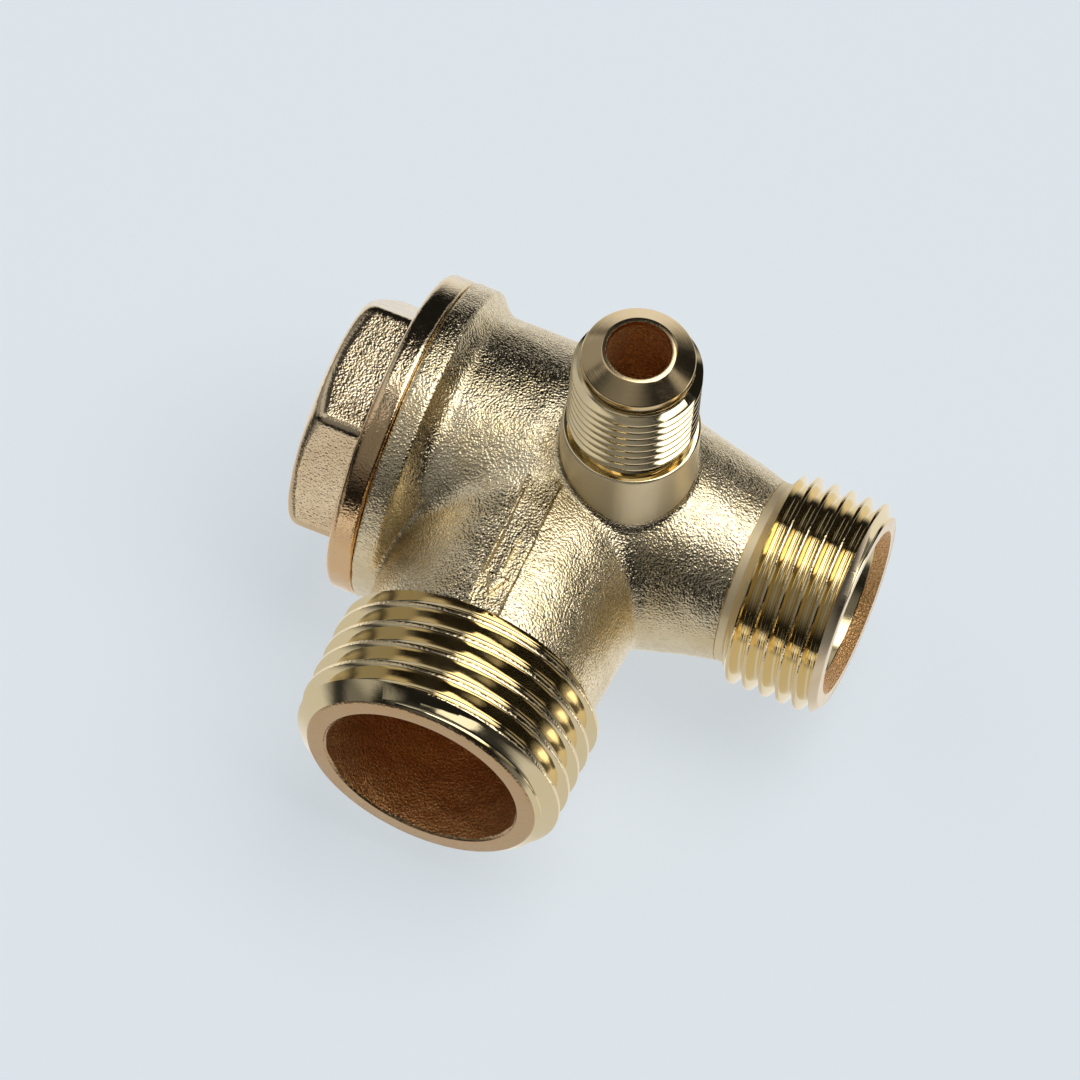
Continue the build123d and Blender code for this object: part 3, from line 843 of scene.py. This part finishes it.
def unloader_port():
    """G 1/8 thread, pointing to +Z, with its collar below and a tapered nose on top."""
    top = UNLOADER_TOP
    clear = UNLOADER_RADIUS + 0.15
    outline = [
        (14.6, 0), (14.6, 4.1), (14.9, 4.1), (15.4, clear),
        (top - 2.75, clear), (top - 2.2, 4.24), (top - 2.2, 0),
    ]
    port = threaded_end(
        "unloader_end", UNLOADER_LINE, (UNLOADER_RADIUS, UNLOADER_PITCH), 0.35, 14.6,
        top - 2.2, outline, [UNLOADER_THREAD], (UNLOADER_THREAD, UNLOADER_CREST), 224,
    )
    stem = [
        (4.0, 0), (4.0, 5.15), (14.0, 5.15),
        *arc((14.0, 4.93), 0.22, 90, 0, 5)[1:],
        (14.22, 4.3), (14.32, 4.2), (14.95, 4.2), (15.0, 4.16), (top - 2.35, 4.1),
        (top - 2.05, 4.2), (top - 1.95, 4.23), (top - 1.12, 4.23),
        *arc((top - 1.12, 4.05), 0.18, 90, 38, 4)[1:],
        (top - 0.1, 2.86), (top - 0.03, 2.79), (top, 2.7), (top, 0),
    ]
    bands = [
        COLLAR if z < 14.1 else UNLOADER_NOSE if z > top - 2.36 else UNLOADER_THREAD
        for z, _ in stem[:-1]
    ]
    stem = lathe("unloader_stem", UNLOADER_LINE, stem, BODY_METALS, 256, bands)
    return combine(port, stem, "UNION")


# ------------------------------------------------------------------ valve body, inside
def cored_bore():
    """The cast tank bore: nearly round, slightly uneven, with a rounded rim to its floor."""
    radius, taper = 7.6, 0.008
    wall_end, floor, corner = -7.4, -8.6, 1.2
    profile = [(TANK_LENGTH + 0.6, 0), (TANK_LENGTH + 0.6, radius)]
    for along in np.linspace(TANK_LENGTH, wall_end, 60):
        profile.append((along, radius - taper * (TANK_LENGTH - along)))
    end_radius = profile[-1][1]
    for angle in np.radians(np.linspace(12, 90, 7)):
        rounded = end_radius - corner + corner * math.cos(angle)
        profile.append((wall_end - corner * math.sin(angle), rounded))
    profile += [(floor, ring) for ring in np.linspace(end_radius - corner, 0.6, 14)[1:]]
    profile.append((floor, 0))
    core = lathe("bore_core", TANK_LINE, profile, BODY_METALS, bands=[CORED])

    points = read_points(core.data) / MM
    x, y, z = points.T
    distance = np.hypot(x, z)
    angle = np.arctan2(z, x)
    bulge = 0.035 * Waves(seed=11, wavelength=2.6)(x, y, z)
    bulge = bulge + 0.05 * np.sin(2 * angle + 0.7) + 0.03 * np.sin(3 * angle)
    stretch = np.where(distance > 1.0, 1 + bulge / np.maximum(distance, 1.0), 1)
    points[:, 0] *= stretch
    points[:, 2] *= stretch
    write_points(core.data, points * MM)
    return core


def bore_mouth():
    """A light turned break at the tank bore's mouth."""
    profile = [
        (TANK_LENGTH + 0.4, 0), (TANK_LENGTH + 0.4, 7.98), (TANK_LENGTH - 0.03, 7.75),
        (TANK_LENGTH - 0.12, 7.64), (TANK_LENGTH - 0.3, 7.4), (TANK_LENGTH - 0.3, 0),
    ]
    return lathe("bore_mouth", TANK_LINE, profile, BODY_METALS, bands=[TANK_FACE])


def chamber_bore():
    """The stepped chamber and the inlet bore beyond it."""
    profile = [
        (-12.6, 0), (-12.6, 11.15), (JOINT_X - 0.02, 11.15), (JOINT_X + 0.05, 11.02),
        (-9.75, 9.1), (-5.5, 9.1), (-5.5, 8.6), (0.25, 8.6), (0.4, 8.45), (0.4, 6.55),
        (0.3, 6.45), (-0.48, 6.18), (-0.6, 6.06), (-0.6, 5.68), (-0.52, 5.6),
        (INLET_END_X - 1.0, 5.6), (INLET_END_X - 0.9, 5.66), (INLET_END_X - 0.02, 6.5),
        (INLET_END_X + 0.5, 6.6), (INLET_END_X + 0.5, 0),
    ]
    bands = [TURNED] * 16 + [CORED]
    return lathe("chamber_bore", MAIN_LINE, profile, BODY_METALS, bands=bands)


def cap_thread_cutter():
    rod = threaded_rod(
        "cap_thread_cut", MAIN_LINE, BODY_THREAD_RADIUS, CAP_PITCH, CAP_THREAD_DEPTH,
        -13.05, -6.0, BODY_METALS, TURNED, TURNED,
    )
    outline = [(-12.4, 0), (-12.4, 10.3), (-6.3, 10.3), (-5.6, 9.0), (-5.6, 0)]
    envelope = lathe("cap_thread_env", MAIN_LINE, outline, BODY_METALS, bands=[TURNED])
    return combine(rod, envelope, "INTERSECT")


def unloader_bore():
    top = UNLOADER_TOP
    profile = [
        (-0.5, 0), (-0.5, 2.38), (top - 0.4, 2.38), (top - 0.34, 2.39), (top - 0.02, 2.44),
        (top + 0.5, 2.47), (top + 0.5, 0),
    ]
    bands = [CORED, CORED, UNLOADER_NOSE]
    return lathe("unloader_bore", UNLOADER_LINE, profile, BODY_METALS, 192, bands)


def valve_body():
    body = surface_nets(
        "body_shell", body_field, (-12.1, -0.9, -12.9), (15.9, 29.4, 12.95), GRID, BODY_METALS
    )
    slots = np.full(len(body.data.polygons), CAST, np.int32)
    body.data.polygons.foreach_set("material_index", slots)
    for make_port in (tank_port, inlet_port, unloader_port):
        combine(body, make_port(), "UNION")
    for make_cutter in (cored_bore, bore_mouth, chamber_bore, cap_thread_cutter, unloader_bore):
        combine(body, make_cutter(), "DIFFERENCE")
    body.name = "body_casting"
    return body


# ------------------------------------------------------------------ cap nut
# (x, radius) of the cap's flange
CAP_FLANGE_OUTLINE = [
    (CAP_BACK_X + 0.02, -1.0),
    (CAP_BACK_X + 0.02, FLANGE_RADIUS - 0.62),
    *arc((CAP_BACK_X + 0.62, FLANGE_RADIUS - 0.6), 0.6, 180, 96, 7),
    (CAP_BACK_X + 1.0, FLANGE_RADIUS - 0.01),
    *arc((CAP_FACE_X - 0.28, FLANGE_RADIUS - 0.28), 0.28, 90, 0, 5),
    (CAP_FACE_X, -1.0),
]
cap_table = DistanceTable(CAP_FLANGE_OUTLINE, (-15.5, -0.2), (-10.6, 14.0))
cap_swell = Waves(seed=21, wavelength=6.0)
cap_ripple = Waves(seed=23, wavelength=1.9)


def cap_field(x, y, z):
    """Flange and soft-cornered hexagon, the hexagon's end crowned."""
    from_axis = y - AXIS_Y
    radius = np.hypot(from_axis, z)
    flange = cap_table(x, radius)
    corner_blend, crown_blend, end_blend, flange_fillet = 0.55, 0.7, 0.45, 0.45
    first_angle = math.radians(HEX_TURN + 30)
    flats = []
    for i in range(6):
        angle = first_angle + i * math.pi / 3
        reach = from_axis * math.cos(angle) + z * math.sin(angle)
        flats.append(reach - HEX_ACROSS_FLATS / 2)
    hexagon = reduce(lambda first, second: smooth_max(first, second, corner_blend), flats)
    # crown: a cone of radius 8.5 at the end, widening by 1.7 for each mm towards +X
    crown = (radius - 8.5 - (x - HEX_END_X) * 1.7) * 0.507
    hexagon = smooth_max(hexagon, crown, crown_blend)
    hexagon = smooth_max(hexagon, HEX_END_X - x, end_blend)
    hexagon = np.maximum(hexagon, x - (JOINT_X - 0.6))
    shape = smooth_min(flange, hexagon, flange_fillet)
    # cast unevenness, fading out towards the joint and weaker on the rim
    fade = np.clip((JOINT_X - 0.45 - x) / 0.5, 0, 1)
    uneven = 0.008 * cap_swell(x, y, z) + 0.0015 * cap_ripple(x, y, z)
    return shape + fade * uneven * (1 - 0.8 * (radius > 12.3))


def cap_nut():
    cap = surface_nets(
        "cap_shell", cap_field, (-19.1, 3.4, -13.1), (-11.2, 29.6, 13.1), GRID, CAP_METALS
    )
    # (x, radius) of the plain skirt, the thread's outline and the stepped pocket
    skirt = [
        (-12.4, 0), (-12.4, 8.5), (-9.75, 8.5), (-9.3, 8.98), (-6.3, 8.98), (-5.95, 8.6),
        (-5.7, 8.55), (-5.7, 0),
    ]
    outline = [
        (-9.9, 0), (-9.9, 8.4), (-8.5, 10.2), (-6.55, 10.2), (-5.75, 8.9), (-5.72, 0),
    ]
    pocket = [
        (-5.2, 0), (-5.2, 8.3), (-5.72, 8.1), (-5.9, 8.0), (-8.0, 8.0), (-8.1, 7.9),
        (-8.1, 6.7), (-8.2, 6.6), (-12.8, 6.6), (-13.0, 6.4), (-13.0, 4.5), (-12.9, 4.4),
        (-8.0, 4.4), (-7.75, 4.15), (-7.75, 3.35), (-8.15, 2.95), (-16.9, 2.95),
        (-17.0, 2.85), (-17.0, 0),
    ]

    def turned(name, profile):
        return lathe(name, MAIN_LINE, profile, CAP_METALS, bands=[CAP_TURNED])

    skirt = turned("cap_skirt", skirt)
    thread = threaded_rod(
        "cap_thread", MAIN_LINE, CAP_THREAD_RADIUS, CAP_PITCH, CAP_THREAD_DEPTH,
        -13.05, -5.0, CAP_METALS, CAP_TURNED, CAP_TURNED,
    )
    combine(thread, turned("cap_thread_outline", outline), "INTERSECT")
    combine(cap, combine(skirt, thread, "UNION"), "UNION")
    combine(cap, turned("cap_pocket", pocket), "DIFFERENCE")
    cap.name = "cap_casting"
    return cap


# ------------------------------------------------------------------ loose parts inside
SPRING_SEAT_X, SPRING_END_X = -13.0, -4.2
DISC_BORE = 1.5
SCREW_SEAT_X = 0.2


def check_piston():
    profile = [
        (-12.0, 0), (-12.0, 2.35),
        *arc((-11.6, 2.5), 0.4, 180, 90, 6)[1:],
        (-4.55, 2.9), (-4.32, 2.98), (-4.22, 3.2), (-4.2, 3.5), (-4.2, 7.25),
        *arc((-3.95, 7.35), 0.25, 180, 90, 5)[1:],
        (-3.2, 7.6), (-3.12, 7.5), (-2.95, 7.5), (-2.87, 7.6), (-1.7, 7.6), (-1.58, 7.55),
        (-1.5, 7.42), (-1.5, 7.02), (-1.58, 6.92), (-2.6, 6.92), (-2.6, 1.5), (-9.1, 1.5),
        (-9.5, 0),
    ]
    return lathe("piston_turned", MAIN_LINE, profile, [PISTON_BRASS], 224)


def seal_disc():
    profile = [
        (-2.59, DISC_BORE), (-2.59, 6.75), (-2.54, 6.86), (-2.45, 6.9), (-0.78, 6.9),
        (-0.68, 6.87), (-0.62, 6.75), (-0.62, 6.3), (-0.645, 6.1), (-0.645, 5.7),
        (-0.62, 5.5), (-0.62, DISC_BORE),
    ]
    return lathe("seal_rubber_disc", MAIN_LINE, profile, [SEAL_RUBBER], 224, closed=True)


def disc_washer():
    profile = [
        (-0.61, DISC_BORE), (-0.61, 4.2), (-0.04, 4.2), (0.09, 4.14), (0.17, 4.03),
        (0.19, 3.9), (0.19, 1.52),
    ]
    return lathe("disc_retainer", MAIN_LINE, profile, [STAINLESS], 192, closed=True)


def disc_screw():
    """Screw with a domed, slotted head on the +X side of the washer."""
    seat = SCREW_SEAT_X
    profile = [
        (seat - 6.5, 0), (seat - 6.5, 1.1), (seat - 6.2, 1.4), (seat - 1.0, 1.48),
        (seat, 1.48), (seat, 2.62), (seat + 0.08, 2.72), (seat + 1.3, 2.75),
    ]
    for angle in np.radians(np.linspace(8, 90, 9)):
        profile.append((seat + 1.3 + 0.6 * math.sin(angle), 1.75 + 1.0 * math.cos(angle)))
    profile.append((seat + 1.9, 0))
    screw = lathe("retainer_screw", MAIN_LINE, profile, [STAINLESS], 160)
    slot_points = [
        (x, AXIS_Y + y, z)
        for x in (seat + 1.02, seat + 2.6) for y in (-4, 4) for z in (-0.4, 0.4)
    ]
    slot_faces = [
        (0, 1, 3, 2), (4, 6, 7, 5), (0, 4, 5, 1), (2, 3, 7, 6), (0, 2, 6, 4), (1, 5, 7, 3),
    ]
    slot = solid_mesh("slot_box", slot_points, slot_faces, [STAINLESS])
    return combine(screw, slot, "DIFFERENCE")


def cap_ring():
    profile = [
        (-10.925 + 0.7 * math.cos(angle), 9.21 + 0.7 * math.sin(angle))
        for angle in np.linspace(0, 2 * math.pi, 40, endpoint=False)
    ]
    return lathe("cap_seal_ring", MAIN_LINE, profile, [RING_RUBBER], 224, closed=True)


def return_spring():
    """Compression spring, its end coils closed up and lying flat."""
    stations, sides = 900, 20
    turns, wire_radius, coil_radius = 6.0, 0.35, 5.5
    low, high = SPRING_SEAT_X + 0.37, SPRING_END_X - 0.37
    share = np.linspace(0, 1, stations)
    angle = share * turns * 2 * np.pi
    # the first and last turns rise by little more than the wire; the change is smoothed
    end_turn = 1.0 / turns
    end_rise = 0.74 / (high - low)
    rise = np.interp(share, [0, end_turn, 1 - end_turn, 1], [0, end_rise, 1 - end_rise, 1])
    kernel = np.hanning(41)
    kernel /= kernel.sum()
    rise = np.convolve(np.pad(rise, 20, "edge"), kernel, "valid")
    centres = np.stack(
        [
            low + (high - low) * rise,
            AXIS_Y + coil_radius * np.cos(angle),
            coil_radius * np.sin(angle),
        ],
        1,
    )
    tangent = np.gradient(centres, axis=0)
    tangent /= np.linalg.norm(tangent, axis=1, keepdims=True)
    radial = np.stack([np.zeros(stations), np.cos(angle), np.sin(angle)], 1)
    across = np.cross(tangent, radial)
    across /= np.linalg.norm(across, axis=1, keepdims=True)
    radial = np.cross(across, tangent)
    around = np.linspace(0, 2 * np.pi, sides, endpoint=False)[None, :, None]
    wire = np.cos(around) * radial[:, None] + np.sin(around) * across[:, None]
    points = (centres[:, None] + wire_radius * wire).reshape(-1, 3)
    faces = []
    for i in range(stations - 1):
        for j in range(sides):
            k = (j + 1) % sides
            here, there = i * sides, (i + 1) * sides
            faces.append((here + j, here + k, there + k, there + j))
    faces.append(tuple(range(sides))[::-1])
    faces.append(tuple((stations - 1) * sides + j for j in range(sides)))
    return solid_mesh("spring_coil", points, faces, [SPRING_STEEL])


# ------------------------------------------------------------------ build and register
body = valve_body()
cap = cap_nut()
piston = check_piston()
seal = seal_disc()
washer = disc_washer()
screw = disc_screw()
ring = cap_ring()
spring = return_spring()

# body and cap are held just inside the CAD box
box_low, box_high = np.array(CAD_BOX[0]) + 1e-6, np.array(CAD_BOX[1]) - 1e-6
for casting in (body, cap):
    write_points(casting.data, np.clip(read_points(casting.data), box_low, box_high))

# object, node it rides on, CAD piece it replaces, slot, angle above which an edge is sharp
for part, node, piece, slot, sharp_angle in (
    (body, "housing", "valve_body", "cast_brass", 32),
    (cap, "cap", "cap_nut", "cap_brass", 34),
    (ring, "cap_carrier", "cap_o_ring", "o_ring_rubber", 60),
    (piston, "poppet", "check_piston", "turned_brass", 32),
    (seal, "poppet", "seal_disc", "seal_rubber", 34),
    (washer, "poppet", "disc_washer", "stainless", 32),
    (screw, "poppet", "disc_screw", "stainless", 32),
    (spring, "poppet", "return_spring", "spring_steel", 50),
):
    polygons = part.data.polygons
    polygons.foreach_set("use_smooth", np.ones(len(polygons), bool))
    part.data.set_sharp_from_angle(angle=math.radians(sharp_angle))
    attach(part, node)
    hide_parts(piece)
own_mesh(spring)

# ------------------------------------------------------------------ floor
bpy.context.scene.view_settings.view_transform = "Standard"
bpy.context.scene.view_settings.look = "None"
# linear values of the pale blue-grey sRGB backdrop
BACKDROP = tuple(((x / 255.0 + 0.055) / 1.055) ** 2.4 for x in (219, 228, 235)) + (1.0,)
FLOOR_HALF, FLOOR_Z = 3, -0.01256  # metres


def floor_material():
    """Part glow, part diffuse, so that the floor matches the backdrop and takes shadows."""
    material = bpy.data.materials.new("floor_pale")
    shader = Shader(material)
    glow = shader.add_node("ShaderNodeEmission", {"Color": BACKDROP, "Strength": 0.735})
    matte = shader.add_node("ShaderNodeBsdfDiffuse", {"Color": (0.34, 0.355, 0.37, 1)})
    both = shader.add_node("ShaderNodeAddShader", {0: glow.outputs[0], 1: matte.outputs[0]})
    shader.output(both.outputs[0])
    return material


floor = bpy.data.objects.new("floor", bpy.data.meshes.new("floor"))
floor_corners = [
    (x * FLOOR_HALF, y * FLOOR_HALF, FLOOR_Z) for x, y in ((-1, -1), (1, -1), (1, 1), (-1, 1))
]
floor.data.from_pydata(floor_corners, [], [(0, 1, 2, 3)])
bpy.context.scene.collection.objects.link(floor)
floor.data.materials.append(floor_material())
floor.visible_glossy = False

# ------------------------------------------------------------------ world light
# Directions are in degrees: azimuth round from -Y towards +X, then elevation.
# Panel: azimuth, elevation, its left, right, bottom and top sides from there, the softness
# of its edges, and its turn in its own plane
KEY_PANEL = (122, 71, -33.5, 24.5, -23, 17.5, 1.2, 40.8)
WEST_PANEL = (-92, 52, -27, 27, -24, 26, 5)
PANELS = (  # panel, strength
    (KEY_PANEL, 2.4),
    ((160, 30, -8, 8, -26, 14, 4), 0.40),
    ((3.5, -8, -7, 7, -5, 6, 1.2), 1.2),
    ((-16, -14, -12, 12, -9, 7, 3), 0.72),
    ((114.5, -21, -3.2, 3.2, -8, 9, 1), 1.2),
    ((-30, -4, -14, 9, -10, 8, 4), 0.22),
    ((-115, -12, -6, 6, -14, 12, 3), 0.35),
    ((-100, 10, -26, 24, -10, 16, 5), 0.28),
    ((-48, -3, -16, 16, -8, 9, 4), 0.13),
    ((104, 16, -9, 9, -12, 12, 3), 0.40),
    ((65, -10, -30, 25, -13, 8, 5), 0.14),
    ((60, -20, -10, 12, -8, 6, 4), 0.12),
)
# Round patch: azimuth, elevation, and the radii where it starts and ends fading
DARK_PATCHES = (((100, -27, 7, 10), 0.85), ((127, -25, 5, 8), 0.85))  # patch, share removed
WEST_SHADE = (-150, 62, 17, 27)
WEST_STRENGTH, WEST_SHADE_STRENGTH = 0.50, 0.46
GLOW_PATCHES = (((-14, 52, 6, 42), 0.17), ((22, 50, 4, 30), 0.06))  # patch, strength


def toward(azimuth, elevation):
    azimuth, elevation = math.radians(azimuth), math.radians(elevation)
    return Vector(
        (
            math.sin(azimuth) * math.cos(elevation),
            -math.cos(azimuth) * math.cos(elevation),
            math.sin(elevation),
        )
    )


def panel_mask(shader, view, azimuth, elevation, left, right, bottom, top, soft, turn=0.0):
    """1 inside a rectangular panel, 0 outside."""
    centre = toward(azimuth, elevation)
    across = Vector((math.cos(math.radians(azimuth)), math.sin(math.radians(azimuth)), 0))
    up = centre.cross(across)
    cosine, sine = math.cos(math.radians(turn)), math.sin(math.radians(turn))
    across, up = across * cosine + up * sine, up * cosine - across * sine
    facing = shader.vector("DOT_PRODUCT", view, tuple(centre))
    depth = shader.math("MAXIMUM", facing, 0.02)

    def strip(direction, low, high):
        offset = shader.vector("DOT_PRODUCT", view, tuple(direction))
        angle = shader.math("ARCTANGENT", shader.math("DIVIDE", offset, depth))
        angle = shader.multiply(angle, 180 / math.pi)
        rising = shader.remap(angle, over=(low - soft, low + soft))
        falling = shader.remap(angle, over=(high - soft, high + soft), to=(1, 0))
        return shader.multiply(rising, falling)

    mask = shader.multiply(strip(across, left, right), strip(up, bottom, top))
    return shader.multiply(mask, shader.remap(facing, over=(0.02, 0.08)))


def patch_mask(shader, view, azimuth, elevation, inner, outer):
    """1 within inner degrees of a direction, fading to 0 at outer."""
    facing = shader.vector("DOT_PRODUCT", view, tuple(toward(azimuth, elevation)))
    cosines = (math.cos(math.radians(outer)), math.cos(math.radians(inner)))
    return shader.remap(facing, over=cosines)


def studio_world():
    """Light panels for everything but the camera, which sees the plain backdrop."""
    world = bpy.data.worlds.new("studio")
    bpy.context.scene.world = world
    shader = Shader(world)
    coord = shader.add_node("ShaderNodeTexCoord").outputs["Generated"]
    view = shader.vector("NORMALIZE", coord)
    _, north, height = shader.separate(view)
    # below the horizon, brighter downwards and different on the -Y and +Y sides
    low_front = shader.remap(height, over=(-0.52, -0.29), to=(0.62, 0.03))
    low_back = shader.remap(height, over=(-0.33, -0.01), to=(0.85, 0.015))
    behind = shader.remap(north, over=(-0.10, 0.40))
    below = shader.mix_value(behind, low_front, low_back)
    sky_strength = 0.012
    light = shader.mix_value(shader.remap(height, over=(-0.03, 0.05)), below, sky_strength)
    for patch, removed in DARK_PATCHES:
        shade = shader.multiply(patch_mask(shader, view, *patch), removed)
        light = shader.multiply(light, shader.subtract(1.0, shade))
    for panel, strength in PANELS:
        glow = shader.multiply(panel_mask(shader, view, *panel), strength)
        light = shader.add(light, glow)
    shade = shader.multiply(patch_mask(shader, view, *WEST_SHADE), WEST_SHADE_STRENGTH)
    west = panel_mask(shader, view, *WEST_PANEL)
    west = shader.multiply(west, shader.subtract(WEST_STRENGTH, shade))
    light = shader.add(light, west)
    for patch, strength in GLOW_PATCHES:
        glow = shader.multiply(patch_mask(shader, view, *patch), strength)
        light = shader.add(light, glow)

    seen = shader.add_node("ShaderNodeLightPath").outputs["Is Camera Ray"]
    warm_white = (1.0, 0.985, 0.96, 1)
    lit = shader.add_node("ShaderNodeBackground", {"Color": warm_white, "Strength": light})
    plain = shader.add_node("ShaderNodeBackground", {"Color": BACKDROP, "Strength": 1.0})
    inputs = {0: seen, 1: lit.outputs[0], 2: plain.outputs[0]}
    mixed = shader.add_node("ShaderNodeMixShader", inputs)
    shader.output(mixed.outputs[0], "ShaderNodeOutputWorld")


studio_world()

# ------------------------------------------------------------------ camera
AZIMUTH, ELEVATION, ROLL = (math.radians(x) for x in (18.335, 59.961, 5.549))
CAMERA_DISTANCE = 1000.0
LEFT_SHIFT, DOWN_SHIFT = 1.528971, 3.295363  # in the camera's own plane

backward = np.array(
    [
        math.sin(AZIMUTH) * math.cos(ELEVATION),
        -math.cos(AZIMUTH) * math.cos(ELEVATION),
        math.sin(ELEVATION),
    ]
)
level_right = np.array([math.cos(AZIMUTH), math.sin(AZIMUTH), 0.0])
level_up = np.cross(backward, level_right)
camera_right = math.cos(ROLL) * level_right + math.sin(ROLL) * level_up
camera_up = -math.sin(ROLL) * level_right + math.cos(ROLL) * level_up
place = -LEFT_SHIFT * camera_right - DOWN_SHIFT * camera_up
place = place + CAMERA_DISTANCE * backward + np.array([0, AXIS_Y, 0])

camera = bpy.data.objects.new("camera", bpy.data.cameras.new("camera"))
bpy.context.scene.collection.objects.link(camera)
columns = (camera_right, camera_up, backward, place * MM)
camera.matrix_world = Matrix([*np.stack(columns, 1).tolist(), [0, 0, 0, 1]])
camera.data.lens = 447.446912
camera.data.sensor_width = 36
camera.data.clip_start = 0.01
camera.data.clip_end = 20
bpy.context.scene.camera = camera
